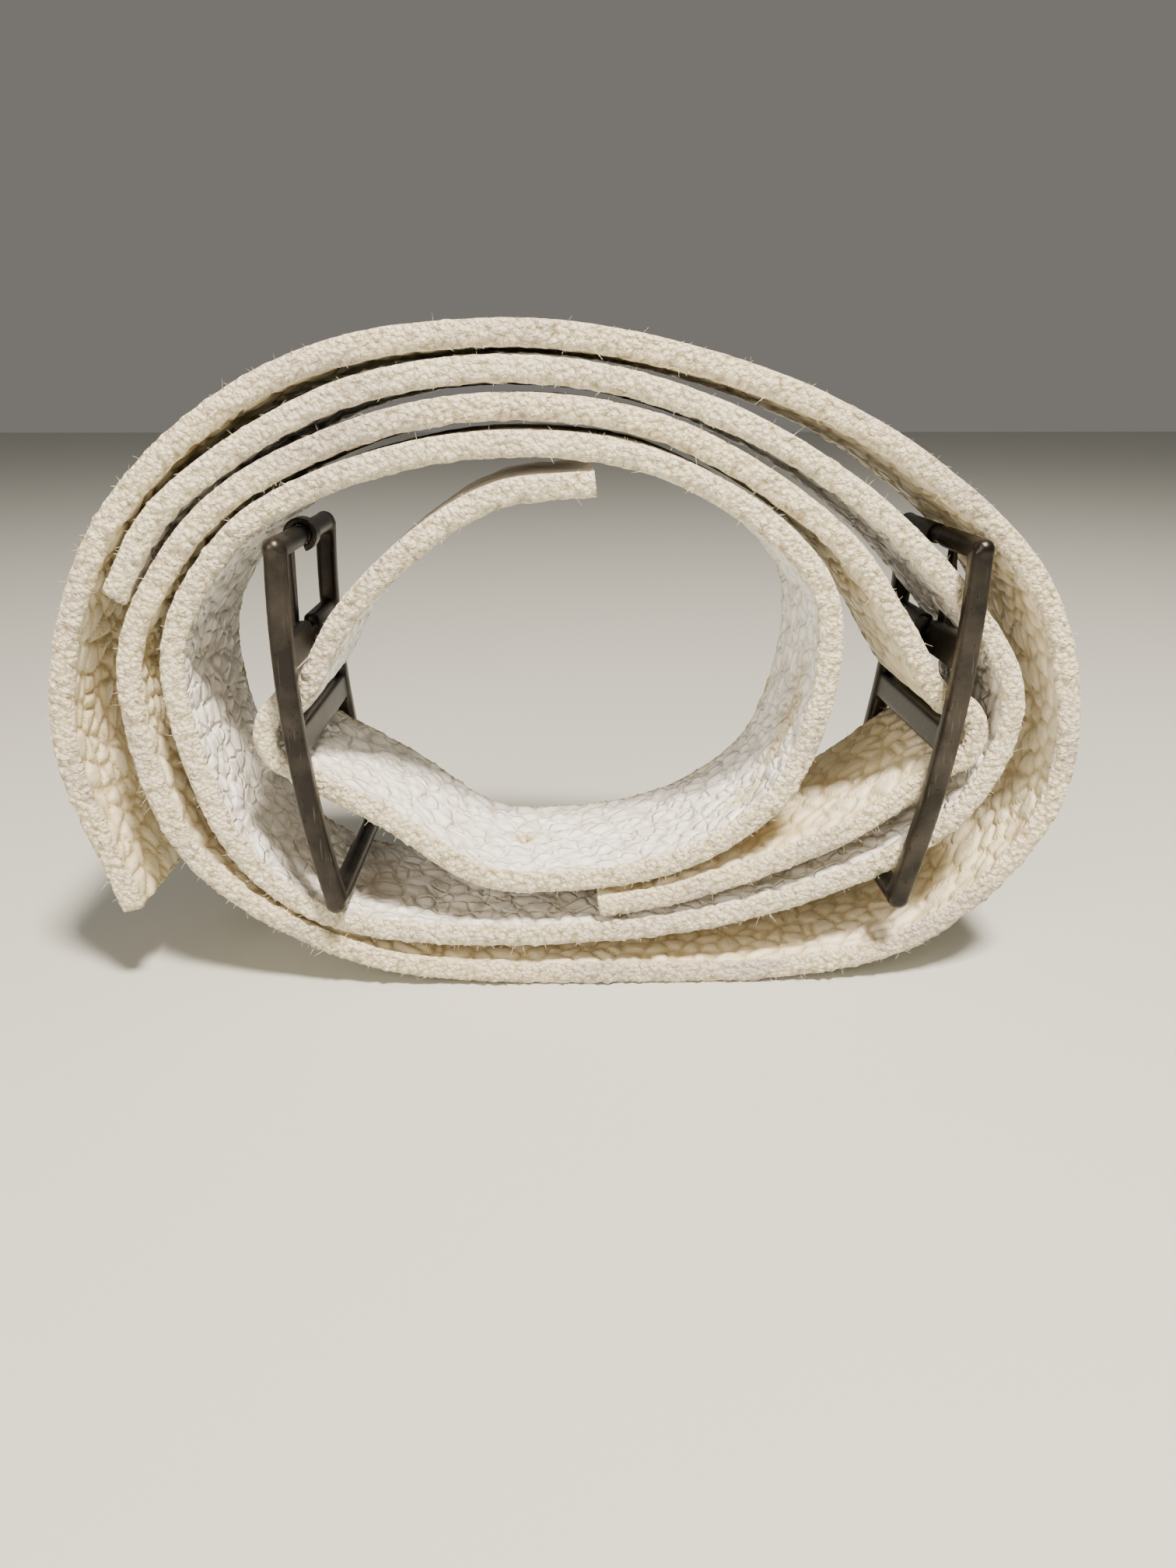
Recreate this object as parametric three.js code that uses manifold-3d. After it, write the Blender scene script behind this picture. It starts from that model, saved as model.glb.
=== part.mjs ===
// Two leather straps rolled up together. Each is folded round the middle bar of a cast
// buckle frame, and each frame carries an open hook prong. Millimetres, +Z up.
import * as THREE from "three";
import { mergeVertices } from "three/addons/utils/BufferGeometryUtils.js";
import Module from "manifold-3d";

const wasm = await Module();
wasm.setup();

// Straps
const strapWidth = 35;
const strapThickness = 4.5;
const edgeRound = 0.9;
const strapStep = 4.2; // length of one facet along a strap
const foldRadius = 1.4 * strapThickness; // middle of the strap, round a buckle's middle bar
const punchedHole = 2.8;
const punchedHoleFromTip = 132; // along strap_inner, from its inner end

// Buckle frame. The "Down" sizes run from the frame's top edge to a bar's centre.
const buckleLength = 68;
const sideClearance = 1; // between a strap's edge and a rail
const railWidth = 3.6;
const railDepth = 3.8;
const railBow = 2.3;
const roundBar = 1.9; // radius of the top and bottom bars
const hingeWaist = 1.5; // radius of a bar where a prong's hook holds it
const flatBarDepth = 2.8;
const crossBarHeight = 6;
const middleBarHeight = 5.5;
const topBarDown = 2;
const crossBarDown = 20;
const middleBarDown = 35.2;
const bottomBarDown = buckleLength - topBarDown;

// Prong
const prongWidth = 3.8;
const hookClearance = 0.35; // between a hook and the waist that it holds
const hookWall = 1.2;
const hookSideClearance = 0.5; // between a hook and the shoulders of its waist
const prongBulge = 2; // thickest part of the shank
const prongTip = 0.9; // thickness at the point
const prongTipGap = 1.1; // how far the point stops short of the next bar's centre
const prongHoleClearance = 0.6; // round a prong that passes through a strap
const hookSweep = 255; // degrees of the bar that a hook goes round
const hookNeck = 5; // length over which the shank thickens below its hook
const prongStraight = 0.7; // share of the shank's length that tapers by less than half

// The roll is wound on a straight core. A buckle's length sets the core's height.
const spineHalf = 27.5;
const coreHalf = buckleLength / 2;
const floorGap = 5; // slack under the core, before the layers are added
const floorPlies = 3; // layers between the core and the outermost one
const floorLine = -coreHalf - floorGap - (floorPlies + 0.5) * strapThickness;

// Heights along the roll are given for a core that reaches this far up and down, and
// stretch with the real one.
const stationHeight = 34;
const stretch = coreHalf / stationHeight;

// A buckle's middle bar is out from the end of the core's spine, past the layers of strap
// inside it. The right one is placed by the height of its cross bar, which a strap passes
// above, and the left one by its top edge. The lean is outwards at the top, in degrees.
const rightBuckleOut = 22;
const rightCrossBarUp = 7.7;
const leftBuckleOut = 25.75;
const leftTopEdgeUp = 28.2;
const rightBuckle = {
  x: spineHalf + rightBuckleOut + 2 * strapThickness,
  z: rightCrossBarUp * stretch - (middleBarDown - crossBarDown),
  lean: 7.2,
};
const leftBuckle = {
  x: -spineHalf - leftBuckleOut - strapThickness / 2,
  z: leftTopEdgeUp * stretch - middleBarDown,
  lean: 4.6,
};

// A strap's stations. Each is [end, out, up, layers under it]: a point that lies out from
// an end of the core's spine, or from its middle, and up from it. The layers are stacked
// on that point.
const outerRun = [
  [-1, -52.5, -34, 2],
  [-1, -58, -4, 2],
  [-1, -43, 22, 3],
  [-1, -20.5, 38.5, 3],
  [0, -20.5, 43.5, 3],
  [0, 15.5, 38.5, 3],
  [1, 14, 26, 3],
  [1, 32.5, 10.5, 3],
  [1, 34, -12.5, 4],
  [1, 22.5, -34, 3],
  [0, 26, -stationHeight - floorGap, floorPlies],
  [0, 5, -stationHeight - floorGap, floorPlies],
  [0, -13, -stationHeight - floorGap, floorPlies],
  [-1, -16.5, -39.5, 2],
  [-1, -44, -25.5, 1],
  [-1, -49.5, 5, 1],
  [-1, -42, 19.5, 1],
  [-1, -30, 30.5, 1],
  [-1, -2, 40.5, 1],
  [0, 6, 38.5, 1],
  [1, 7.5, 21, 1],
  [1, 15.5, 9.5, 1],
];
const rightFold = [90, 48, 6, -36, -76]; // degrees round the middle bar
const outerTail = [
  [1, 11.5, -20.5, 1],
  [0, 13, -31, 1],
  [0, -2.5, -34, 1],
];
const innerTail = [
  [0, -3.5, 38.5, -1],
  [0, -20, 36.5, -1],
  [-1, -7.5, 28, -1],
  [-1, -23.2, 16.06, -1.5],
];
const leftFold = [92, 133, 173, 215, 255];
const innerRun = [
  [-1, -14.5, -22, -0.5],
  [0, -24, -32, 0],
  [0, -8, -33, 0],
  [0, 8, -30.5, 0],
  [0, 21, -24.5, 0],
  [1, 4, -13, 0],
  [1, 7.5, 15.5, 0],
  [0, 10, 36, 0],
  [0, -23.5, 40, 0],
  [-1, -27, 31.4, 0],
  [-1, -39.5, 21, 0],
  [-1, -46.5, 6.5, 0],
  [-1, -40.5, -25, 0],
  [-1, -29.5, -37.5, 0],
  [-1, -13, -38.5, 1],
  [0, -8.5, -35, 2],
  [0, 25, -30.5, 2],
  [1, 21, -20.5, 2],
  [1, 25.5, -10, 3],
  [1, 27, 0.5, 3],
  [1, 15, 18, 2],
  [0, 21, 34, 2],
  [0, -12, 42.5, 2],
  [-1, -14, 39, 2],
  [-1, -38.5, 25.5, 2],
  [-1, -46.5, 14.5, 2],
];

// A station's place: its core point, moved out from the core's straight spine.
function layer([end, out, up, layers]) {
  const x = end * spineHalf + out;
  const z = up * stretch;
  const nearest = THREE.MathUtils.clamp(x, -spineHalf, spineHalf);
  const outward = new THREE.Vector3(x - nearest, 0, z).normalize();
  return new THREE.Vector3(x, 0, z).addScaledVector(outward, (layers + 0.5) * strapThickness);
}

function foldPoint(buckle, degrees) {
  const angle = THREE.MathUtils.degToRad(degrees);
  const x = buckle.x + foldRadius * Math.cos(angle);
  return new THREE.Vector3(x, 0, buckle.z + foldRadius * Math.sin(angle));
}

// The middle of a strap. It lies flat on the surface wherever the curve would sink.
class StrapCurve extends THREE.CatmullRomCurve3 {
  constructor(points) {
    super(points);
    this.arcLengthDivisions = 2000;
  }
  getPoint(t, target) {
    const point = super.getPoint(t, target);
    point.z = Math.max(point.z, floorLine);
    return point;
  }
}

function solidFrom(geometry) {
  const bare = geometry.clone();
  bare.deleteAttribute("normal");
  bare.deleteAttribute("uv");
  const merged = mergeVertices(bare, 1e-4);
  const vertProperties = merged.attributes.position.array;
  const triVerts = new Uint32Array(merged.index.array);
  return new wasm.Manifold(new wasm.Mesh({ numProp: 3, vertProperties, triVerts }));
}

function geometryFrom(solid) {
  const { vertProperties, triVerts } = solid.getMesh();
  const geometry = new THREE.BufferGeometry();
  geometry.setAttribute("position", new THREE.BufferAttribute(vertProperties, 3));
  geometry.setIndex(new THREE.BufferAttribute(triVerts, 1));
  geometry.computeVertexNormals();
  return geometry;
}

function named(name, geometry, look) {
  const mesh = new THREE.Mesh(geometry, new THREE.MeshStandardMaterial(look));
  mesh.name = name;
  return mesh;
}

// A rectangle with cut corners, centred on the origin.
function cutRectangle(width, height, corner) {
  const x = width / 2;
  const y = height / 2;
  return new THREE.Shape([
    new THREE.Vector2(-x + corner, -y),
    new THREE.Vector2(x - corner, -y),
    new THREE.Vector2(x, -y + corner),
    new THREE.Vector2(x, y - corner),
    new THREE.Vector2(x - corner, y),
    new THREE.Vector2(-x + corner, y),
    new THREE.Vector2(-x, y - corner),
    new THREE.Vector2(-x, -y + corner),
  ]);
}

function strapGeometry(curve) {
  return new THREE.ExtrudeGeometry(cutRectangle(strapWidth, strapThickness, edgeRound), {
    extrudePath: curve,
    steps: Math.round(curve.getLength() / strapStep),
    bevelEnabled: false,
  });
}

// Stands an outline drawn in X and Z up, as thick along Y as given and centred on it.
function extrudedAlongY(shape, depth, curveSegments = 6) {
  const geometry = new THREE.ExtrudeGeometry(shape, { depth, curveSegments, bevelEnabled: false });
  return geometry.rotateX(Math.PI / 2).translate(0, depth / 2, 0);
}

// A place on the bowed middle line of a frame, from its middle bar.
function framePoint(down, y = 0) {
  const half = buckleLength / 2;
  const bow = (at) => railBow * (1 - ((at - half) / half) ** 2);
  return new THREE.Vector3(bow(down) - bow(middleBarDown), y, middleBarDown - down);
}

// Buckle frame: two bowed rails joined by four bars, cast in one.
const windowHalf = strapWidth / 2 + sideClearance;
const railCentre = windowHalf + railWidth / 2;
const waistHalf = prongWidth / 2 + hookSideClearance;
const railFacets = 16;
const barSides = 12;

function rail(side) {
  const points = [];
  for (let i = 0; i <= railFacets; i += 1) {
    const down = THREE.MathUtils.lerp(topBarDown, bottomBarDown, i / railFacets);
    points.push(framePoint(down, side * railCentre));
  }
  const section = new THREE.Shape();
  section.absellipse(0, 0, railWidth / 2, railDepth / 2, 0, 2 * Math.PI);
  return solidFrom(
    new THREE.ExtrudeGeometry(section, {
      extrudePath: new THREE.CatmullRomCurve3(points),
      steps: railFacets,
      curveSegments: 5,
      bevelEnabled: false,
    }),
  );
}

function bottomBar() {
  const bar = new THREE.CylinderGeometry(roundBar, roundBar, 2 * railCentre, barSides);
  const place = framePoint(bottomBarDown);
  return solidFrom(bar.translate(place.x, 0, place.z));
}

// The top bar narrows to a waist where the prong's hook holds it.
function topBar() {
  const shoulder = waistHalf + roundBar - hingeWaist;
  const profile = [
    [0, -railCentre],
    [roundBar, -railCentre],
    [roundBar, -shoulder],
    [hingeWaist, -waistHalf],
    [hingeWaist, waistHalf],
    [roundBar, shoulder],
    [roundBar, railCentre],
    [0, railCentre],
  ];
  const points = profile.map(([radius, y]) => new THREE.Vector2(radius, y));
  const place = framePoint(topBarDown);
  return solidFrom(new THREE.LatheGeometry(points, barSides).translate(place.x, 0, place.z));
}

function flatBarAt(down, height, y, length) {
  const shape = cutRectangle(flatBarDepth, height, flatBarDepth / 4);
  const place = framePoint(down, y);
  const bar = extrudedAlongY(shape, length);
  return solidFrom(bar.translate(place.x, place.y, place.z));
}

// The cross bar is flat, with a round waist between its two halves.
function crossBar() {
  const flatLength = railCentre - waistHalf;
  const flatCentre = waistHalf + flatLength / 2;
  const place = framePoint(crossBarDown);
  const waistLength = 2 * (waistHalf + hookSideClearance);
  const waist = new THREE.CylinderGeometry(hingeWaist, hingeWaist, waistLength, barSides);
  return solidFrom(waist.translate(place.x, 0, place.z))
    .add(flatBarAt(crossBarDown, crossBarHeight, -flatCentre, flatLength))
    .add(flatBarAt(crossBarDown, crossBarHeight, flatCentre, flatLength));
}

function corner(down, side) {
  const place = framePoint(down, side * railCentre);
  const ball = new THREE.SphereGeometry(roundBar, barSides, 8);
  return solidFrom(ball.translate(place.x, place.y, place.z));
}

function frameGeometry() {
  let frame = topBar().add(crossBar()).add(bottomBar());
  frame = frame.add(flatBarAt(middleBarDown, middleBarHeight, 0, 2 * railCentre));
  for (const side of [-1, 1]) {
    frame = frame.add(rail(side));
    frame = frame.add(corner(topBarDown, side)).add(corner(bottomBarDown, side));
  }
  return geometryFrom(frame);
}

// Prong: an open hook round a bar's waist, with a shank that runs down past its outer side.
const hookInner = hingeWaist + hookClearance;
const hookOuter = hookInner + hookWall;
const barToBar = framePoint(topBarDown).sub(framePoint(crossBarDown));
const prongLength = barToBar.length() - prongTipGap;
const prongLean = Math.atan2(barToBar.x, barToBar.z);

function prongGeometry() {
  const hookEnd = THREE.MathUtils.degToRad(hookSweep);
  const shankOuter = hookInner + prongBulge;
  const outline = new THREE.Shape();
  outline.moveTo(hookInner, -prongLength);
  outline.lineTo(hookInner, 0);
  outline.absarc(0, 0, hookInner, 0, hookEnd, false);
  outline.lineTo(hookOuter * Math.cos(hookEnd), hookOuter * Math.sin(hookEnd));
  outline.absarc(0, 0, hookOuter, hookEnd, 0, true);
  outline.quadraticCurveTo(shankOuter, -hookNeck / 2, shankOuter, -hookNeck);
  const bend = -prongStraight * prongLength;
  outline.quadraticCurveTo(shankOuter, bend, hookInner + prongTip, -prongLength);
  return extrudedAlongY(outline, prongWidth);
}

// A tunnel round a prong's shank, with room for the shank to swing out a little.
function prongTunnel() {
  const depth = prongBulge + 2 * prongHoleClearance;
  const width = prongWidth + 2 * prongHoleClearance;
  const tunnel = new THREE.BoxGeometry(depth, width, prongLength);
  return tunnel.translate(hookInner + prongBulge / 2, 0, -prongLength / 2);
}

// Places of the moving and seated pieces.
const leftPlace = new THREE.Matrix4()
  .makeTranslation(leftBuckle.x, 0, leftBuckle.z)
  .multiply(new THREE.Matrix4().makeRotationY(THREE.MathUtils.degToRad(-leftBuckle.lean)))
  .multiply(new THREE.Matrix4().makeRotationZ(Math.PI));
const rightPlace = new THREE.Matrix4()
  .makeTranslation(rightBuckle.x, 0, rightBuckle.z)
  .multiply(new THREE.Matrix4().makeRotationY(THREE.MathUtils.degToRad(rightBuckle.lean)));

// A prong on a frame: hanging from the top bar, or turned up from the cross bar.
function prongPlace(framePlace, down, turnedUp) {
  const hinge = framePoint(down);
  const place = framePlace.clone();
  place.multiply(new THREE.Matrix4().makeTranslation(hinge.x, 0, hinge.z));
  place.multiply(new THREE.Matrix4().makeRotationY(prongLean));
  if (turnedUp) place.multiply(new THREE.Matrix4().makeRotationX(Math.PI));
  return place;
}
const leftProngPlace = prongPlace(leftPlace, topBarDown, false);
const rightProngPlace = prongPlace(rightPlace, crossBarDown, true);

const outerCurve = new StrapCurve([
  ...outerRun.map(layer),
  ...rightFold.map((angle) => foldPoint(rightBuckle, angle)),
  ...outerTail.map(layer),
]);
const innerCurve = new StrapCurve([
  ...innerTail.map(layer),
  ...leftFold.map((angle) => foldPoint(leftBuckle, angle)),
  ...innerRun.map(layer),
]);

// The inner strap has a punched hole, and one that the right prong passes through.
function innerStrapGeometry() {
  const at = punchedHoleFromTip / innerCurve.getLength();
  const centre = innerCurve.getPointAt(at);
  const along = innerCurve.getTangentAt(at);
  const punchLength = 2 * strapThickness;
  const punch = new THREE.CylinderGeometry(punchedHole / 2, punchedHole / 2, punchLength, barSides);
  punch.rotateX(Math.PI / 2).rotateY(Math.atan2(-along.z, along.x));
  punch.translate(centre.x, 0, centre.z);
  const tunnel = prongTunnel().applyMatrix4(rightProngPlace);
  const strap = solidFrom(strapGeometry(innerCurve));
  return geometryFrom(strap.subtract(solidFrom(punch)).subtract(solidFrom(tunnel)));
}

const cream = { color: 0xd8d0bd, roughness: 0.75, metalness: 0 };
const white = { color: 0xdcdad3, roughness: 0.7, metalness: 0 };
const gunmetal = { color: 0x4a443f, roughness: 0.42, metalness: 0.9 };

const roll = new THREE.Group();
roll.add(named("strap_outer", strapGeometry(outerCurve), cream));
roll.add(named("strap_inner", innerStrapGeometry(), white));
roll.add(named("buckle_frame_left", frameGeometry().applyMatrix4(leftPlace), gunmetal));
roll.add(named("buckle_frame_right", frameGeometry().applyMatrix4(rightPlace), gunmetal));
roll.add(named("prong_left", prongGeometry().applyMatrix4(leftProngPlace), gunmetal));
roll.add(named("prong_right", prongGeometry().applyMatrix4(rightProngPlace), gunmetal));

// The origin is under the middle of the roll, on the surface that it stands on.
const box = new THREE.Box3().setFromObject(roll);
roll.position.set(-(box.min.x + box.max.x) / 2, 0, -box.min.z);

export default roll;
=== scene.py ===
# Two leather straps rolled up together, each with a cast buckle and an open hook prong.
import math
import bpy
import bmesh
import numpy as np
from mathutils import Matrix, Vector, noise


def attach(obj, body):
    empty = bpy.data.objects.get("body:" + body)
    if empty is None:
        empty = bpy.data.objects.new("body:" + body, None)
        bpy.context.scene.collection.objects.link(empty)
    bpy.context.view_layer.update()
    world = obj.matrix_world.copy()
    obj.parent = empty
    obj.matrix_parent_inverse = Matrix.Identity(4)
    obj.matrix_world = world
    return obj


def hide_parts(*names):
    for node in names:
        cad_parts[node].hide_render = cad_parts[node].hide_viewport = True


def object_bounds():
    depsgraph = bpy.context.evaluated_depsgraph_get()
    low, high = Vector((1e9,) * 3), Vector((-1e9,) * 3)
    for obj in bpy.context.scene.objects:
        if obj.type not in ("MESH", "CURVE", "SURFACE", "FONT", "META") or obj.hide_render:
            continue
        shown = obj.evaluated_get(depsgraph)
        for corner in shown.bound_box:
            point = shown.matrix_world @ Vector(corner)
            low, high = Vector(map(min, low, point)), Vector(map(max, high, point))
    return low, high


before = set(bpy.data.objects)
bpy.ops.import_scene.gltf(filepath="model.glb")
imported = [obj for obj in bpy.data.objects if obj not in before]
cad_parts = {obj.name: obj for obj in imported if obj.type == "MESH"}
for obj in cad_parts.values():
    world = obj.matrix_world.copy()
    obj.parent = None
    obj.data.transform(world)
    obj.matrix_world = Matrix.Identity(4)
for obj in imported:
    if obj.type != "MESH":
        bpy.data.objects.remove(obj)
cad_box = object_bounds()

# Camera: a wide lens close to the straps' near edges, a little above the roll and looking
# down on it. Sizes and places are in millimetres, turned to metres as each mesh is finished.
mm = 0.001
scene = bpy.context.scene
camera_place = Vector((-1.6, -201.7, 107.5))
camera_dip = 19.83  # degrees below level
camera_turn = 1.39  # degrees to the right
camera_data = bpy.data.cameras.new("camera")
camera_data.lens = 25.0
camera_data.sensor_fit = "VERTICAL"
camera_data.sensor_height = 36.0
camera = bpy.data.objects.new("camera", camera_data)
camera.location = camera_place * mm
camera.rotation_euler = (math.radians(90 - camera_dip), 0, math.radians(-camera_turn))
scene.collection.objects.link(camera)
scene.camera = camera

# Route of the straps: heavy belt leather wound loosely on a straight core, each strap
# folded round the middle bar of its buckle. A station is [end, out, up, layers under it]:
# it lies out from an end of the core's spine, or from its middle, and up from it.
strap_width = 35.0
strap_thickness = 4.5
fold_radius = 1.4 * strap_thickness
spine_half = 27.5
core_half = 34.0
floor_gap = 5.0  # slack under the core, before the layers are added
floor_plies = 3
floor_up = -core_half - floor_gap
floor_line = floor_up - (floor_plies + 0.5) * strap_thickness
right_bar = Vector((58.5, 0, -7.5))
left_bar = Vector((-55.5, 0, -7.0))
right_lean = math.radians(7.2)
left_lean = math.radians(-4.6)
outer_run = [
    [-1, -52.5, -34, 2], [-1, -58, -4, 2], [-1, -43, 22, 3], [-1, -20.5, 38.5, 3],
    [0, -20.5, 43.5, 3], [0, 15.5, 38.5, 3], [1, 14, 26, 3], [1, 32.5, 10.5, 3],
    [1, 34, -12.5, 4], [1, 22.5, -34, 3], [0, 26, floor_up, floor_plies],
    [0, 5, floor_up, floor_plies], [0, -13, floor_up, floor_plies], [-1, -16.5, -39.5, 2],
    [-1, -44, -25.5, 1], [-1, -49.5, 5, 1], [-1, -42, 19.5, 1], [-1, -30, 30.5, 1],
    [-1, -2, 40.5, 1], [0, 6, 38.5, 1], [1, 7.5, 21, 1], [1, 15.5, 9.5, 1],
]
right_fold = [90, 48, 6, -36, -76]  # degrees round the middle bar
outer_tail = [[1, 11.5, -20.5, 1], [0, 13, -31, 1], [0, -2.5, -34, 1]]
inner_tail = [
    [0, -3.5, 38.5, -1], [0, -20, 36.5, -1], [-1, -7.5, 28, -1], [-1, -23.2, 16.06, -1.5],
]
left_fold = [92, 133, 173, 215, 255]
inner_run = [
    [-1, -14.5, -22, -0.5], [0, -24, -32, 0], [0, -8, -33, 0], [0, 8, -30.5, 0],
    [0, 21, -24.5, 0], [1, 4, -13, 0], [1, 7.5, 15.5, 0], [0, 10, 36, 0],
    [0, -23.5, 40, 0], [-1, -27, 31.4, 0], [-1, -39.5, 21, 0], [-1, -46.5, 6.5, 0],
    [-1, -40.5, -25, 0], [-1, -29.5, -37.5, 0], [-1, -13, -38.5, 1], [0, -8.5, -35, 2],
    [0, 25, -30.5, 2], [1, 21, -20.5, 2], [1, 25.5, -10, 3], [1, 27, 0.5, 3],
    [1, 15, 18, 2], [0, 21, 34, 2], [0, -12, 42.5, 2], [-1, -14, 39, 2],
    [-1, -38.5, 25.5, 2], [-1, -46.5, 14.5, 2],
]
span_steps = 40  # from one station to the next
along_step = 0.6  # between rows of the finished mesh


def layer(station):
    end, out, up, layers = station
    core = Vector((end * spine_half + out, 0, up))
    nearest = Vector((max(-spine_half, min(spine_half, core.x)), 0, 0))
    return core + (core - nearest).normalized() * (layers + 0.5) * strap_thickness


def fold_point(bar, degrees):
    angle = math.radians(degrees)
    return bar + fold_radius * Vector((math.cos(angle), 0, math.sin(angle)))


def strap_line(points):
    """A smooth line through the points in even steps: its places, and how far along each is."""
    ends = [2 * points[0] - points[1], *points, 2 * points[-1] - points[-2]]
    places = []
    for a, b, c, d in zip(ends, ends[1:], ends[2:], ends[3:]):
        ab, bc, cd = (math.sqrt((q - p).length) for p, q in ((a, b), (b, c), (c, d)))
        leave = ((b - a) / ab - (c - a) / (ab + bc) + (c - b) / bc) * bc
        arrive = ((c - b) / bc - (d - b) / (bc + cd) + (d - c) / cd) * bc
        for t in np.arange(span_steps) / span_steps:
            squared = (-3 * b + 3 * c - 2 * leave - arrive) * t**2
            cubed = (2 * b - 2 * c + leave + arrive) * t**3
            places.append(b + leave * t + (squared + cubed))
    places.append(points[-1])
    places = np.array([[p.x, max(p.z, floor_line)] for p in places])
    run = np.concatenate([[0], np.cumsum(np.hypot(*np.diff(places, axis=0).T))])
    even = np.linspace(0, run[-1], round(run[-1] / along_step) + 1)
    line = [np.interp(even, run, places[:, 0]), np.interp(even, run, places[:, 1])]
    return np.stack(line, 1), even


outer_points = [layer(station) for station in outer_run]
outer_points += [fold_point(right_bar, degrees) for degrees in right_fold]
outer_points += [layer(station) for station in outer_tail]
inner_points = [layer(station) for station in inner_tail]
inner_points += [fold_point(left_bar, degrees) for degrees in left_fold]
inner_points += [layer(station) for station in inner_run]
outer_line, outer_lengths = strap_line(outer_points)
inner_line, inner_lengths = strap_line(inner_points)
outer_side = outer_line[:, 0].min() - strap_thickness / 2
roll_shift = Vector((cad_box[0].x / mm - outer_side, 0, strap_thickness / 2 - floor_line))

# Buckle frames: one zinc casting each, antiqued dark and rubbed back a little paler in patches.
# Two bowed rails are joined by a round top and bottom bar and two flat bars. The "down"
# sizes run from the frame's top edge to a bar's centre.
buckle_length = 68.0
side_clearance = 1.0  # between a strap's edge and a rail
rail_width = 3.6
rail_depth = 3.8
rail_bow = 2.3
rail_rounding = 1.1
rail_steps = 40
round_bar = 1.9  # radius of the top and bottom bars
corner_swell = 0.15  # how much fuller the corners are than the round bars
hinge_waist = 1.5  # radius of a bar where a prong's hook holds it
waist_half = 2.4
waist_overlap = 1.0
flat_bar_depth = 2.8
flat_bar_rounding = 0.8
cross_bar_height = 6.0
middle_bar_height = 5.5
top_bar_down = 2.0
cross_bar_down = 20.0
middle_bar_down = 35.2
bottom_bar_down = buckle_length - top_bar_down
rail_centre = strap_width / 2 + side_clearance + rail_width / 2
casting_grain = 0.32  # size of the smallest form that the fused skin keeps
casting_smoothing = 5


def bow(down):
    half = buckle_length / 2
    return rail_bow * (1 - ((down - half) / half) ** 2)


def frame_point(down, y=0.0):
    return Vector((bow(down) - bow(middle_bar_down), y, middle_bar_down - down))


def flat_bar(bm, centre, length, height):
    place = Matrix.Translation(centre) @ Matrix.Diagonal((flat_bar_depth, length, height, 1))
    made = bmesh.ops.create_cube(bm, size=1, matrix=place)
    edges = dict.fromkeys(edge for vert in made["verts"] for edge in vert.link_edges)
    bmesh.ops.bevel(bm, geom=list(edges), offset=flat_bar_rounding, segments=3, profile=0.5,
                    affect="EDGES", material=-1)


def round_rod(bm, centre, radius, length):
    along_y = Matrix.Translation(centre) @ Matrix.Rotation(math.pi / 2, 4, "X")
    bmesh.ops.create_cone(bm, cap_ends=True, segments=28, radius1=radius, radius2=radius,
                          depth=length, matrix=along_y)


def cast_rail(bm):
    """A rounded square section swept along the rail's bow, on the near side."""
    span = (bottom_bar_down - top_bar_down) / 2
    sweep = (span**2 + rail_bow**2) / (2 * rail_bow)
    angle = 2 * math.asin(span / sweep)
    hub = frame_point(buckle_length / 2, -rail_centre) - Vector((sweep, 0, 0))
    made = bmesh.ops.create_grid(bm, x_segments=1, y_segments=1, size=0.5,
                                 matrix=Matrix.Diagonal((rail_depth, rail_width, 1, 1)))
    bmesh.ops.bevel(bm, geom=made["verts"], offset=rail_rounding, segments=4, profile=0.5,
                    affect="VERTICES", material=-1)
    start = Matrix.Translation(hub) @ Matrix.Rotation(-angle / 2, 4, "Y")
    start = start @ Matrix.Translation((sweep, 0, 0))
    bmesh.ops.transform(bm, matrix=start, verts=bm.verts)
    geometry = bm.verts[:] + bm.edges[:] + bm.faces[:]
    bmesh.ops.spin(bm, geom=geometry, cent=hub, axis=(0, 1, 0), angle=angle, steps=rail_steps)
    bmesh.ops.recalc_face_normals(bm, faces=bm.faces)


def fused(name, bm, grain, smoothing):
    """Fuses overlapping closed shapes into one cast skin."""
    raw = bpy.data.meshes.new(name + "_raw")
    bm.to_mesh(raw)
    bm.free()
    holder = bpy.data.objects.new(name + "_raw", raw)
    scene.collection.objects.link(holder)
    remesh = holder.modifiers.new("fuse", "REMESH")
    remesh.mode = "VOXEL"
    remesh.voxel_size = grain
    soften = holder.modifiers.new("soften", "SMOOTH")
    soften.factor = 0.5
    soften.iterations = smoothing
    graph = bpy.context.evaluated_depsgraph_get()
    mesh = bpy.data.meshes.new_from_object(holder.evaluated_get(graph))
    mesh.name = name
    bpy.data.objects.remove(holder)
    bpy.data.meshes.remove(raw)
    mesh.shade_smooth()
    return mesh


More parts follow.
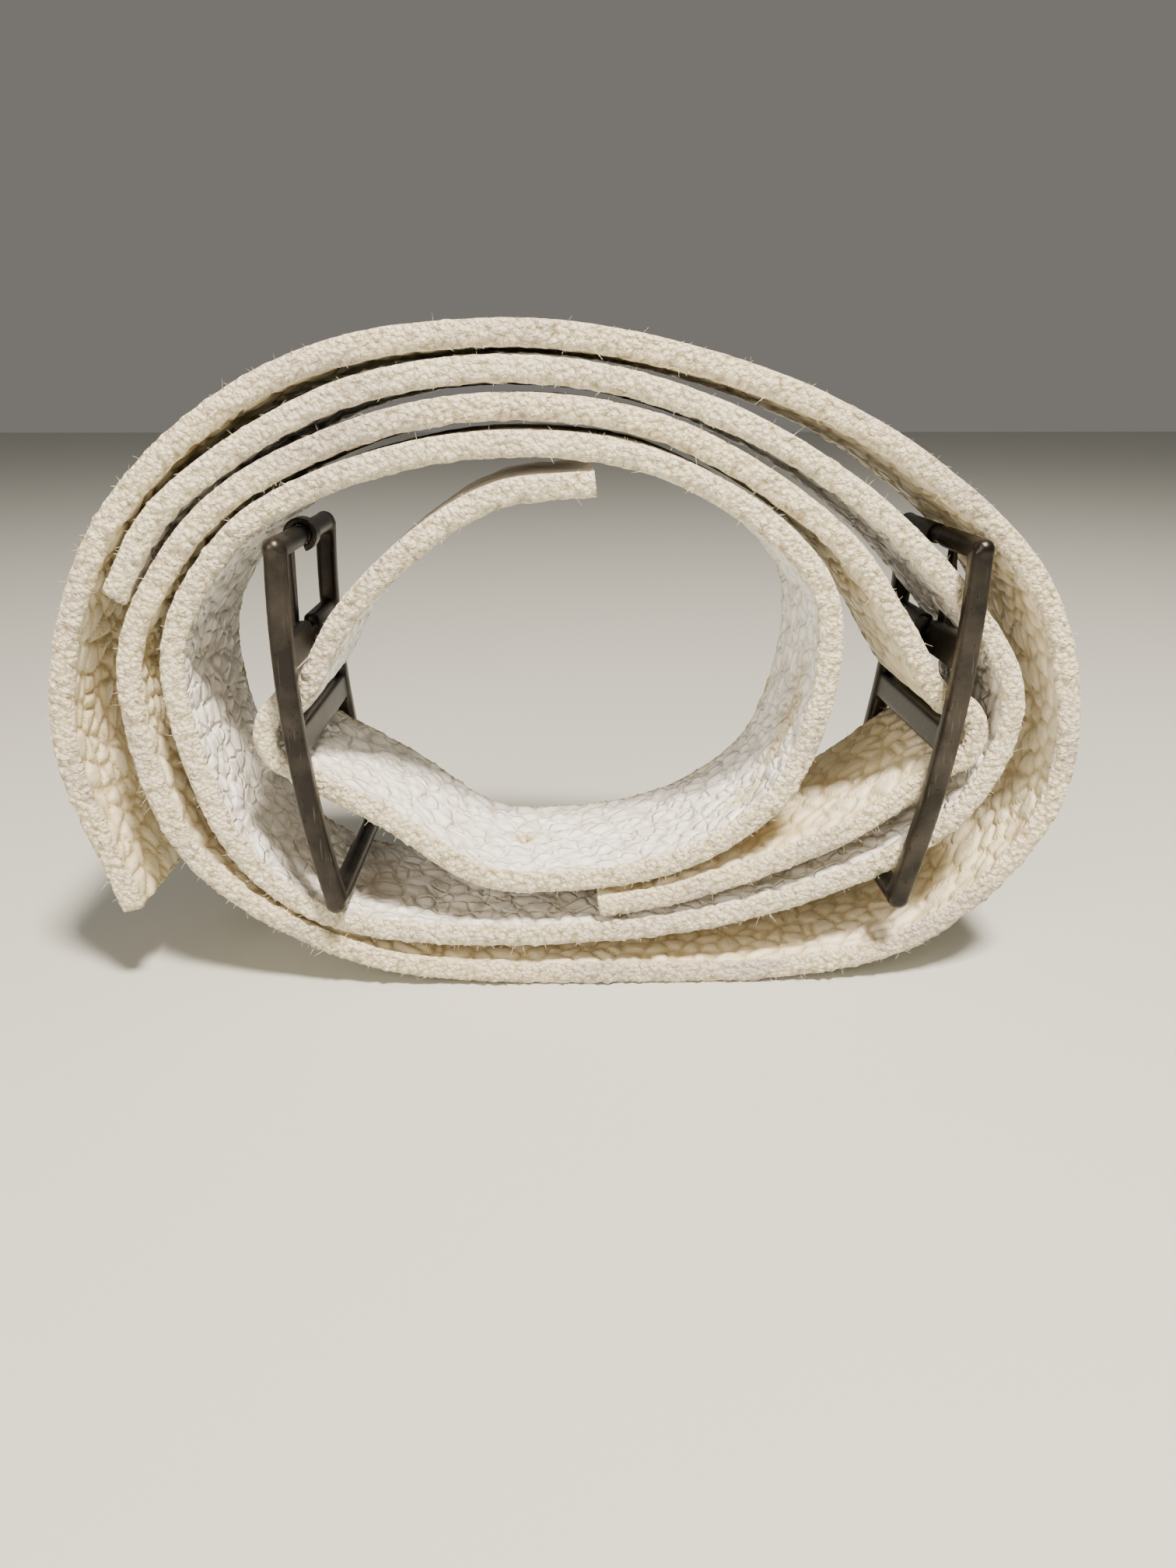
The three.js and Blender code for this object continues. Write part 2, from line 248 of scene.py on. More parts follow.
def casting():
    bm = bmesh.new()
    cast_rail(bm)
    near_rail = bm.verts[:] + bm.edges[:] + bm.faces[:]
    far_rail = bmesh.ops.duplicate(bm, geom=near_rail)["geom"]
    far_verts = [item for item in far_rail if isinstance(item, bmesh.types.BMVert)]
    bmesh.ops.translate(bm, verts=far_verts, vec=(0, 2 * rail_centre, 0))
    reach = rail_centre - waist_half
    for side in (-1, 1):
        for down in (top_bar_down, bottom_bar_down):
            corner = Matrix.Translation(frame_point(down, side * rail_centre))
            bmesh.ops.create_uvsphere(bm, u_segments=24, v_segments=16,
                                      radius=round_bar + corner_swell, matrix=corner)
        half_bar = side * (waist_half + reach / 2)
        flat_bar(bm, frame_point(cross_bar_down, half_bar), reach, cross_bar_height)
        round_rod(bm, frame_point(top_bar_down, half_bar), round_bar, reach)
    for down in (top_bar_down, cross_bar_down):
        round_rod(bm, frame_point(down), hinge_waist, 2 * waist_half + 2 * waist_overlap)
    round_rod(bm, frame_point(bottom_bar_down), round_bar, 2 * rail_centre)
    flat_bar(bm, frame_point(middle_bar_down), 2 * rail_centre, middle_bar_height)
    return bm


def linear(colour):
    parts = [int(colour[i:i + 2], 16) / 255 for i in (1, 3, 5)]
    light = [p / 12.92 if p <= 0.04045 else ((p + 0.055) / 1.055) ** 2.4 for p in parts]
    return (*light, 1.0)


def add(tree, kind, inputs=(), **settings):
    """Adds a node with its settings, and links or sets its inputs."""
    node = tree.nodes.new(kind)
    for key, value in settings.items():
        setattr(node, key, value)
    for key, value in dict(inputs).items():
        if isinstance(value, bpy.types.NodeSocket):
            tree.links.new(value, node.inputs[key])
        else:
            node.inputs[key].default_value = value
    return node


def new_material(name):
    material = bpy.data.materials.new(name)
    material.use_nodes = True
    tree = material.node_tree
    return material, tree, tree.nodes["Principled BSDF"]


# Antiqued zinc: die-cast and chemically darkened to a gunmetal brown, with a satin shine. It
# is rubbed a little paler in patches, pitted from the casting and scratched along the rails.
def antiqued_zinc():
    patch_size = 7 * mm
    scratch_width = 0.5 * mm
    scratch_squeeze = 0.06  # of a scratch's width to its length
    pit_size = 0.6 * mm
    pit_depth = 0.08 * mm
    material, tree, shader = new_material("antiqued zinc")
    place = add(tree, "ShaderNodeTexCoord").outputs["Object"]
    patches = add(tree, "ShaderNodeTexNoise", {
        "Vector": place, "Scale": 1 / patch_size, "Detail": 4.0}).outputs["Fac"]
    stretched = add(tree, "ShaderNodeMapping", {
        "Vector": place, "Scale": (1.0, 1.0, scratch_squeeze)}).outputs[0]
    scratches = add(tree, "ShaderNodeTexNoise", {
        "Vector": stretched, "Scale": 1 / scratch_width}).outputs["Fac"]
    pits = add(tree, "ShaderNodeTexNoise", {
        "Vector": place, "Scale": 1 / pit_size}).outputs["Fac"]
    colour = linear("#2f2c29")
    for pattern, least, most, paint in (
        (patches, 0.4, 0.7, "#4b4640"),
        (scratches, 0.64, 0.8, "#7a736a"),
        (pits, 0.66, 0.76, "#1b1917"),
    ):
        share = add(tree, "ShaderNodeMapRange", {
            "Value": pattern, "From Min": least, "From Max": most}).outputs[0]
        colour = add(tree, "ShaderNodeMix", {
            0: share, 6: colour, 7: linear(paint)}, data_type="RGBA").outputs[2]
    tree.links.new(colour, shader.inputs["Base Color"])
    rough = add(tree, "ShaderNodeMapRange", {
        "Value": patches, "To Min": 0.24, "To Max": 0.46}).outputs[0]
    tree.links.new(rough, shader.inputs["Roughness"])
    bump = add(tree, "ShaderNodeBump", {
        "Height": pits, "Strength": 0.25, "Distance": pit_depth}).outputs[0]
    tree.links.new(bump, shader.inputs["Normal"])
    shader.inputs["Metallic"].default_value = 0.85
    return material


zinc = antiqued_zinc()
casting_mesh = fused("casting", casting(), casting_grain, casting_smoothing)
left_place = Matrix.Translation(left_bar + roll_shift) @ Matrix.Rotation(left_lean, 4, "Y")
left_place = left_place @ Matrix.Rotation(math.pi, 4, "Z")
right_place = Matrix.Translation(right_bar + roll_shift) @ Matrix.Rotation(right_lean, 4, "Y")
for node, body, placing in (
    ("buckle_frame_left", "left_buckle", left_place),
    ("buckle_frame_right", "roll", right_place),
):
    mesh = casting_mesh.copy()
    mesh.transform(Matrix.Scale(mm, 4) @ placing)
    mesh.materials.append(zinc)
    buckle = bpy.data.objects.new(node + "_casting", mesh)
    scene.collection.objects.link(buckle)
    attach(buckle, body)
    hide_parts(node)

# Prongs: short zinc castings, each an open hook that snaps over a bar's waist, with a shank
# that tapers to a thin point. The left one hangs from its frame's top bar, and the right one
# is turned up from the cross bar.
prong_width = 3.8
prong_taper = 0.35  # share of its width that a prong loses at its point
hook_clearance = 0.35
hook_wall = 1.2
hook_sweep = 255  # degrees of the bar that a hook goes round
hook_steps = 28
hook_inner = hinge_waist + hook_clearance
hook_outer = hook_inner + hook_wall
shank_steps = 12
shank_swell = 0.75
swell_place = 0.6  # below 1, the swell is nearer the hook than the point
prong_bulge = 2.0  # thickest part of the shank
prong_tip = 0.9
prong_tip_gap = 1.1  # how far the point stops short of the next bar's centre
prong_grain = 0.2
prong_smoothing = 4
bar_to_bar = frame_point(top_bar_down) - frame_point(cross_bar_down)
prong_length = bar_to_bar.length - prong_tip_gap
prong_lean = math.atan2(bar_to_bar.x, bar_to_bar.z)


def arc(radius, start, end):
    turn = end - start
    angles = [math.radians(start + turn * i / hook_steps) for i in range(hook_steps + 1)]
    return [Vector((radius * math.cos(a), 0, radius * math.sin(a))) for a in angles]


def cast_prong():
    outline = [Vector((hook_inner, 0, -prong_length))]
    outline += arc(hook_inner, 0, hook_sweep)
    outline += arc(hook_outer, hook_sweep, 0)
    for i in range(1, shank_steps + 1):
        fall = i / shank_steps
        swell = math.sin(math.pi * fall**swell_place) * shank_swell
        thick = (1 - fall) * (hook_outer - hook_inner) + fall * prong_tip + swell
        outline.append(Vector((hook_inner + min(thick, prong_bulge), 0, -prong_length * fall)))
    bm = bmesh.new()
    near_side = Vector((0, -prong_width / 2, 0))
    face = bm.faces.new([bm.verts.new(point + near_side) for point in outline])
    made = bmesh.ops.extrude_face_region(bm, geom=[face])
    moved = [item for item in made["geom"] if isinstance(item, bmesh.types.BMVert)]
    bmesh.ops.translate(bm, verts=moved, vec=(0, prong_width, 0))
    for vert in bm.verts:
        vert.co.y *= 1 - prong_taper * max(0.0, -vert.co.z / prong_length)
    bmesh.ops.recalc_face_normals(bm, faces=bm.faces)
    return bm


prong_mesh = fused("prong_blank", cast_prong(), prong_grain, prong_smoothing)
turned_up = Matrix.Rotation(math.pi, 4, "X")
for node, body, placing, down, turn in (
    ("prong_left", "left_prong", left_place, top_bar_down, Matrix.Identity(4)),
    ("prong_right", "right_prong", right_place, cross_bar_down, turned_up),
):
    mesh = prong_mesh.copy()
    hinge = Matrix.Translation(frame_point(down)) @ Matrix.Rotation(prong_lean, 4, "Y") @ turn
    mesh.transform(Matrix.Scale(mm, 4) @ placing @ hinge)
    mesh.materials.append(zinc)
    prong = bpy.data.objects.new(node + "_casting", mesh)
    scene.collection.objects.link(prong)
    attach(prong, body)
    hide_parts(node)

# Straps: heavy leather, coated cream or white on the grain side and pressed with a pebble grain,
# with the long edges and the tips left raw. The grain side faces the middle of the roll. The
# inner strap has a dent for a punched hole, darkened towards its middle with painted shade in
# place of the opening, and a slot that a prong goes through.
half_width = strap_width / 2
edge_corner = 1.0
flat_half = half_width - edge_corner
edge_start = flat_half + 0.02  # a face whose middle lies past this is on an edge
face_columns = 44  # across the grain side
flesh_columns = 10
edge_columns = 8
grain_finish, edge_finish, flesh_finish = range(3)
crown = 0.03  # share of its thickness that a strap loses towards its edges
# The random reliefs: each is its height, and its size along and across the strap.
waver_relief = (0.45, 16.0, 1.0)  # the cut line of an edge
swell_relief = (0.16, 13.0, 13.0)  # both faces
wrinkle_relief = (0.2, 22.0, 2.6)  # flesh side
nap_relief = (0.08, 1.6, 1.6)
tuft_relief = (1.0, 1.2, 1.0)  # raw edges
lump_relief = (0.7, 3.0, 2.4)
ragged_relief = (0.13, 2.2, 1.0)  # as a share of the edge's height
edge_stand = 0.1
pebble_stretch = 1.15  # along the strap
pebble_wander = (9.0, 0.35)  # size, and reach in pebbles
crease_width = 0.36  # in pebbles
crease_falloff = 1.5
grain_fade = 2.0  # the grain grows shallower this close to an edge
dent_depth = 2.0  # at the punched hole
dent_spread = 1.6
tip_inset = 0.5
tip_stand = 0.25
slot_half_along = 4.2
slot_half_across = 2.9
noise.seed_set(4)  # for noise_vector, which draws its own offsets


def strap_section():
    """Points round the strap from the far edge's middle: across, up, and which surface."""
    rise = strap_thickness / 2

    def corner(side, start, count, turn):
        for i in range(count):
            angle = start + turn * i / count
            across = side * flat_half + edge_corner * math.cos(angle)
            yield across, rise * math.sin(angle), "edge"

    right_angle = math.pi / 2
    points = [*corner(1, 0, edge_columns // 2, right_angle)]
    for i in range(face_columns):
        points.append((flat_half - 2 * flat_half * i / face_columns, rise, "grain"))
    points += corner(-1, right_angle, edge_columns, math.pi)
    for i in range(flesh_columns):
        points.append((-flat_half + 2 * flat_half * i / flesh_columns, -rise, "flesh"))
    points += corner(1, -right_angle, edge_columns // 2, right_angle)
    return points


def grain_direction(line, grain_sign):
    tangent = np.gradient(line, axis=0)
    tangent /= np.hypot(*tangent.T)[:, None]
    return grain_sign * np.stack([tangent[:, 1], -tangent[:, 0]], 1)


def ripple(relief, along, across, seed):
    height, size_along, size_across = relief
    return height * noise.noise(Vector((along / size_along, across / size_across, seed)))


def pebble(along, across, cell, seed):
    """Depth of the pressed grain: 0 on top of a pebble, 1 in the crease between two."""
    wander_size, wander = pebble_wander
    moved = noise.noise_vector(Vector((along / wander_size, across / wander_size, seed)))
    place = Vector((along / (pebble_stretch * cell), across / cell, seed)) + moved * wander
    distances = noise.voronoi(place)[0]
    return max(0.0, 1 - (distances[1] - distances[0]) / crease_width) ** crease_falloff


def leather_point(point, along, grain, seed, punched):
    """Where a point of the section comes to lie: across, up, and its depth in a crease."""
    across, up, kind = point
    cell, grain_depth = grain
    rise = up * (1 - crown * abs(across) / half_width)
    depth = 0.0
    stand = 0.0
    if kind == "edge":
        tufts = ripple(tuft_relief, along, up, seed + 3)
        lumps = ripple(lump_relief, along, up, seed + 6)
        stand = tufts + lumps + edge_stand
        rise *= 1 + ripple(ragged_relief, along, across, seed + 8)
    else:
        rise += ripple(swell_relief, along, across, seed + 9)
    if kind == "flesh":
        wrinkles = abs(ripple(wrinkle_relief, along, across, seed + 4))
        rise += wrinkles + ripple(nap_relief, along, across, seed)
    if kind == "grain":
        depth = pebble(along, across, cell, seed)
        fade = min(1.0, (half_width - abs(across)) / grain_fade)
        rise -= grain_depth * depth * (0.5 + 0.5 * fade)
        if punched is not None:
            away = (along - punched) ** 2 + across**2
            rise -= dent_depth * math.exp(-away / dent_spread)
    waver = ripple(waver_relief, along, seed, 2.0 if across < 0 else 5.0)
    width = across + math.copysign(stand, across)
    return width + math.copysign(waver, across), rise, depth


def cut_slot(bm, place, grain_along, flesh_along):
    """Opens a slot right through a strap, round the shank that passes through, and walls it."""
    rims = []
    for along, side in ((grain_along, 1), (flesh_along, -1)):
        inside = []
        for face in bm.faces:
            centre = sum((vert[place] for vert in face.verts), Vector()) / len(face.verts)
            near_along = abs(centre.x - along) < slot_half_along
            near_across = abs(centre.y) < slot_half_across
            if centre.z * side > 0 and near_along and near_across:
                inside.append(face)
        for face in inside:
            rims += [edge for edge in face.edges if any(f not in inside for f in edge.link_faces)]
        bmesh.ops.delete(bm, geom=inside, context="FACES")
    walls = bmesh.ops.bridge_loops(bm, edges=rims)["faces"]
    for wall in walls:
        wall.material_index = edge_finish
        wall.smooth = True


def build_strap(name, line, lengths, grain_sign, grain, seed, finishes, punched=None, slot=None):
    section = strap_section()
    around = len(section)
    steps = len(line) - 1
    grain_way = grain_direction(line, grain_sign)
    bm = bmesh.new()
    bmesh.ops.create_grid(bm, x_segments=steps, y_segments=around, size=0.5)
    place = bm.verts.layers.float_vector.new("place")
    crease = bm.verts.layers.float.new("crease")
    for vert in bm.verts:
        i = round((vert.co.x + 0.5) * steps)
        k = round((vert.co.y + 0.5) * around) % around
        across, up, kind = section[k]
        width, rise, depth = leather_point(section[k], lengths[i], grain, seed, punched)
        x, z = line[i] + grain_way[i] * rise
        vert.co = (Vector((x, width, z)) + roll_shift) * mm
        vert[place] = (lengths[i], across, up)
        vert[crease] = depth
    for face in bm.faces:
        lowest = min(vert[place].z for vert in face.verts)
        middle = sum(abs(vert[place].y) for vert in face.verts) / 4
        if middle > edge_start:
            face.material_index = edge_finish
        elif lowest > 0:
            face.material_index = grain_finish
        else:
            face.material_index = flesh_finish
        face.smooth = True
    bmesh.ops.remove_doubles(bm, verts=bm.verts, dist=1e-7)  # where the section closes
    if slot is not None:
        cut_slot(bm, place, *slot)
    ends = [edge for edge in bm.edges if edge.is_boundary]
    caps = bmesh.ops.holes_fill(bm, edges=ends, sides=0)["faces"]
    for cap in caps:
        cap.material_index = edge_finish
    bmesh.ops.inset_region(bm, faces=caps, thickness=tip_inset * mm, depth=tip_stand * mm)
    bmesh.ops.triangulate(bm, faces=[face for face in bm.faces if len(face.verts) > 4])
    bmesh.ops.recalc_face_normals(bm, faces=bm.faces)
    mesh = bpy.data.meshes.new(name)
    bm.to_mesh(mesh)
    bm.free()
    for finish in finishes:
        mesh.materials.append(finish)
    strap = bpy.data.objects.new(name, mesh)
    scene.collection.objects.link(strap)
    return strap


# Pressed pebble grain under a thin coat: satin on the pebbles, and darker and yellower in the
# creases, partly the coat's own duller tone there and partly painted shade. Where wear has
# cracked the coat the leather beneath shows, and the dent of the punched hole is darkened towards
# its middle as painted shade for the opening. The coat also has a net of its own fold lines.
# Patterns follow the strap, in millimetres along and across it.
def pebbled_leather(name, coat, warm, crease_tone_and_shade_colour, crease_tone_and_shade_amount, fold_size, fold_depth,
                    wear_and_shade_places=()):
    patch_size = 28
    crack_size = 1.3
    wave_size = 4.0
    wave_reach = 1.6
    pore_size = 0.6  # coarser than real pores, so that they show
    pore_depth = 0.25
    pebble_depth = 2.6
    bump_depth = 0.24 * mm
    material, tree, shader = new_material(name)
    place = add(tree, "ShaderNodeAttribute", attribute_name="place").outputs["Vector"]
    crease = add(tree, "ShaderNodeAttribute", attribute_name="crease").outputs["Fac"]
    patches = add(tree, "ShaderNodeTexNoise", {
        "Vector": place, "Scale": 1 / patch_size, "Detail": 4.0}).outputs["Fac"]
    warmth = add(tree, "ShaderNodeMapRange", {
        "Value": patches, "From Min": 0.4, "From Max": 0.65}).outputs[0]
    colour = add(tree, "ShaderNodeMix", {
        0: warmth, 6: linear(coat), 7: linear(warm)}, data_type="RGBA").outputs[2]
    # Painted shade, with the coat's duller tone: the creases take the crease colour.
    crease_tone_and_shade_share = add(tree, "ShaderNodeMapRange", {
        "Value": crease, "From Min": 0.4, "To Max": crease_tone_and_shade_amount}).outputs[0]
    colour = add(tree, "ShaderNodeMix", {
        0: crease_tone_and_shade_share, 6: colour, 7: linear(crease_tone_and_shade_colour)}, data_type="RGBA").outputs[2]
    cracks = add(tree, "ShaderNodeTexVoronoi", {
        "Vector": place, "Scale": 1 / crack_size},
        feature="DISTANCE_TO_EDGE").outputs["Distance"]
    cracked = add(tree, "ShaderNodeMapRange", {
        "Value": cracks, "From Min": 0.25, "From Max": 0.04, "To Min": 0.25}).outputs[0]
    # Worn places show the leather beneath, over the cracks; at the punched hole the colour is
    # painted shade standing in for the opening.
    for along, across, reach_along, reach_across, wear_and_shade_colour in wear_and_shade_places:
        centred = add(tree, "ShaderNodeMapping", {
            "Vector": place, "Location": (-along / reach_along, -across / reach_across, 0),
            "Scale": (1 / reach_along, 1 / reach_across, 0)}).outputs[0]
        away = add(tree, "ShaderNodeVectorMath", {
            0: centred}, operation="LENGTH").outputs["Value"]
        near = add(tree, "ShaderNodeMapRange", {
            "Value": away, "From Min": 1.1, "From Max": 0.35}).outputs[0]
        wear_and_shade = add(tree, "ShaderNodeMath", {
            0: near, 1: cracked}, operation="MULTIPLY").outputs[0]
        colour = add(tree, "ShaderNodeMix", {
            0: wear_and_shade, 6: colour, 7: linear(wear_and_shade_colour)}, data_type="RGBA").outputs[2]
    tree.links.new(colour, shader.inputs["Base Color"])
    wavy = add(tree, "ShaderNodeTexNoise", {
        "Vector": place, "Scale": 1 / wave_size}).outputs["Color"]
    bent = add(tree, "ShaderNodeVectorMath", {
        0: wavy, 1: (wave_reach, wave_reach, 0.0), 2: place},
        operation="MULTIPLY_ADD").outputs[0]
    folds = add(tree, "ShaderNodeTexVoronoi", {
        "Vector": bent, "Scale": 1 / fold_size},
        feature="DISTANCE_TO_EDGE").outputs["Distance"]
    between_folds = add(tree, "ShaderNodeMapRange", {
        "Value": folds, "From Max": 0.13}).outputs[0]
    pores = add(tree, "ShaderNodeTexNoise", {
        "Vector": place, "Scale": 1 / pore_size, "Detail": 3.0}).outputs["Fac"]
    height = add(tree, "ShaderNodeMath", {
        0: crease, 1: -pebble_depth}, operation="MULTIPLY").outputs[0]
    height = add(tree, "ShaderNodeMath", {
        0: between_folds, 1: fold_depth, 2: height}, operation="MULTIPLY_ADD").outputs[0]
    height = add(tree, "ShaderNodeMath", {
        0: pores, 1: pore_depth, 2: height}, operation="MULTIPLY_ADD").outputs[0]
    bump = add(tree, "ShaderNodeBump", {
        "Height": height, "Strength": 0.8, "Distance": bump_depth}).outputs[0]
    tree.links.new(bump, shader.inputs["Normal"])
    rough = add(tree, "ShaderNodeMapRange", {
        "Value": crease, "To Min": 0.3, "To Max": 0.65}).outputs[0]
    tree.links.new(rough, shader.inputs["Roughness"])
    return material


# Raw cut edge: torn fibres matted into tufts about a millimetre across, cream on the tufts, with
# painted shade darkening the pits between them, and soiled grey in places.
def raw_edge(name, pit_shade, tuft, soil, soil_amount):
    fluff_size = 0.7 * mm
    fluff_reach = 0.9 * mm
    tuft_size = 1.0 * mm
    tuft_depth = 0.8 * mm
    stain_size = 26 * mm
    material, tree, shader = new_material(name)
    place = add(tree, "ShaderNodeTexCoord").outputs["Object"]
    fluff = add(tree, "ShaderNodeTexNoise", {
        "Vector": place, "Scale": 1 / fluff_size, "Detail": 5.0}).outputs
    drift = add(tree, "ShaderNodeVectorMath", {
        0: fluff["Color"], "Scale": fluff_reach}, operation="SCALE").outputs[0]
    pulled = add(tree, "ShaderNodeVectorMath", {
        0: place, 1: drift}, operation="ADD").outputs[0]
    tufts = add(tree, "ShaderNodeTexVoronoi", {
        "Vector": pulled, "Scale": 1 / tuft_size}).outputs["Distance"]
    stains = add(tree, "ShaderNodeTexNoise", {
        "Vector": place, "Scale": 1 / stain_size, "Detail": 3.0}).outputs["Fac"]
    # Painted shade: the pits between the tufts take the darker colour.
    pit_shading = add(tree, "ShaderNodeMapRange", {
        "Value": tufts, "From Min": 0.45, "From Max": 0.95}).outputs[0]
    colour = add(tree, "ShaderNodeMix", {
        0: pit_shading, 6: linear(tuft), 7: linear(pit_shade)}, data_type="RGBA").outputs[2]
    soiled = add(tree, "ShaderNodeMapRange", {
        "Value": stains, "From Min": 0.5, "From Max": 0.7, "To Max": soil_amount}).outputs[0]
    colour = add(tree, "ShaderNodeMix", {
        0: soiled, 6: colour, 7: linear(soil)}, data_type="RGBA").outputs[2]
    tree.links.new(colour, shader.inputs["Base Color"])
    height = add(tree, "ShaderNodeMath", {
        0: tufts, 1: -1.0, 2: fluff["Fac"]}, operation="MULTIPLY_ADD").outputs[0]
    bump = add(tree, "ShaderNodeBump", {
        "Height": height, "Strength": 1.0, "Distance": tuft_depth}).outputs[0]
    tree.links.new(bump, shader.inputs["Normal"])
    shader.inputs["Roughness"].default_value = 0.95
    shader.inputs["Sheen Weight"].default_value = 0.25
    return material


# Flesh side: brushed suede, duller than the coat, with soft lengthwise wrinkles whose hollows are
# painted darker as shade, and a fine nap that catches light at a slant.
def flesh_side(name, nap, wear_and_shade):
    wrinkle_size = 2.4
    wrinkle_squeeze = 0.12  # of a wrinkle's width to its length
    nap_size = 0.45  # coarser than a real nap, so that it shows
    nap_depth = 0.25 * mm
    material, tree, shader = new_material(name)
    place = add(tree, "ShaderNodeAttribute", attribute_name="place").outputs["Vector"]
    stretched = add(tree, "ShaderNodeMapping", {
        "Vector": place, "Scale": (wrinkle_squeeze, 1.0, 1.0)}).outputs[0]
    wrinkles = add(tree, "ShaderNodeTexNoise", {
        "Vector": stretched, "Scale": 1 / wrinkle_size, "Detail": 4.0}).outputs["Fac"]
    napped = add(tree, "ShaderNodeTexNoise", {
        "Vector": place, "Scale": 1 / nap_size}).outputs["Fac"]
    # Painted shade: the wrinkles' hollows take the darker colour, their tops the nap colour.
    raised = add(tree, "ShaderNodeMapRange", {
        "Value": wrinkles, "From Min": 0.35, "From Max": 0.65}).outputs[0]
    colour = add(tree, "ShaderNodeMix", {
        0: raised, 6: linear(wear_and_shade), 7: linear(nap)}, data_type="RGBA").outputs[2]
    tree.links.new(colour, shader.inputs["Base Color"])
    height = add(tree, "ShaderNodeMath", {
        0: wrinkles, 1: 2.0, 2: napped}, operation="MULTIPLY_ADD").outputs[0]
    bump = add(tree, "ShaderNodeBump", {
        "Height": height, "Strength": 0.5, "Distance": nap_depth}).outputs[0]
    tree.links.new(bump, shader.inputs["Normal"])
    shader.inputs["Roughness"].default_value = 0.92
    shader.inputs["Sheen Weight"].default_value = 0.3
    return material


def crossing(line, lengths, start, end):
    """How far along a strap's surface a shank from start to end meets it."""
    shank = np.array([end.x - start.x, end.z - start.z])
    offset = line - np.array([start.x, start.z])
    share = np.clip(offset @ shank / (shank @ shank), 0, 1)
    gap = np.hypot(*(offset - share[:, None] * shank).T)
    return float(lengths[gap.argmin()])


cream_grain = (4.0, 0.7)  # size of a pebble, and depth of the creases between
cream_finishes = [
    pebbled_leather("cream pebbled leather", "#f3ebd0", "#ebdfba", "#bfa874", 0.65, 1.9, 0.25),
    raw_edge("cream raw edge", "#b5a379", "#f4e9ca", "#9b93a0", 0.5),
    flesh_side("cream suede", "#cfc6b4", "#b3a893"),
]
white_grain = (4.4, 0.75)
punched_hole = 132.0  # along the inner strap, from its inner end
wear_and_shade_places = [  # along, across, half its length, half its width, and the colour: the leather beneath where worn, painted shade at the punched hole
    # Painted shade: the punched hole is a dent, darkened towards its middle in place of the
    # opening.
    (punched_hole, 0.0, 3.6, 3.2, "#c9b27a"),
    (punched_hole, 0.0, 1.3, 1.2, "#6f5f3f"),
    (195.0, -6.0, 15.0, 6.0, "#cbb88c"),
    (178.0, -9.0, 7.0, 4.5, "#d3c7a4"),
]
white_finishes = [
    pebbled_leather("white pebbled leather", "#f8f7f4", "#f1eee6", "#c6bca6", 0.5, 4.2, 2.6,
                    wear_and_shade_places),
    raw_edge("white raw edge", "#baa982", "#f4ebcf", "#a59ca4", 0.25),
    flesh_side("white suede", "#cbc2b1", "#a99d8a"),
]
shank_place = right_place @ Matrix.Translation(frame_point(cross_bar_down))
shank_place = shank_place @ Matrix.Rotation(prong_lean, 4, "Y") @ turned_up
shank_middle = hook_inner + prong_bulge / 2
shank_start = shank_place @ Vector((shank_middle, 0, 0)) - roll_shift
shank_end = shank_place @ Vector((shank_middle, 0, -prong_length)) - roll_shift
inner_grain_way = grain_direction(inner_line, -1)
slot_at = [
    crossing(inner_line + rise * inner_grain_way, inner_lengths, shank_start, shank_end)
    for rise in (strap_thickness / 2, -strap_thickness / 2)
]

outer_strap = build_strap("strap_outer_leather", outer_line, outer_lengths, 1, cream_grain,
                          11.0, cream_finishes)
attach(outer_strap, "roll")
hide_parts("strap_outer")
inner_strap = build_strap("strap_inner_leather", inner_line, inner_lengths, -1, white_grain,
                          23.0, white_finishes, punched_hole, slot_at)
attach(inner_strap, "roll")
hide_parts("strap_inner")

# Loose fibres: strands of the hide that stand out of the raw edges, each a thin tapering
# spike rooted just inside the edge. Real ones are finer; these are as thick as they need to
# be to show. None reaches the surface that the roll stands on.
fibre_radius = 0.05
fibre_root = 0.25  # how far inside the edge it starts
shortest_fibre = 0.3
near_share = 0.6  # of the fibres, on the near edge
fibre_band = 0.95  # share of the edge's height that they start from
length_shape = 2.5
length_scale = 0.28
fan_out = 0.35  # away from the middle of the edge
stray_along = 0.9
stray_up = 0.5


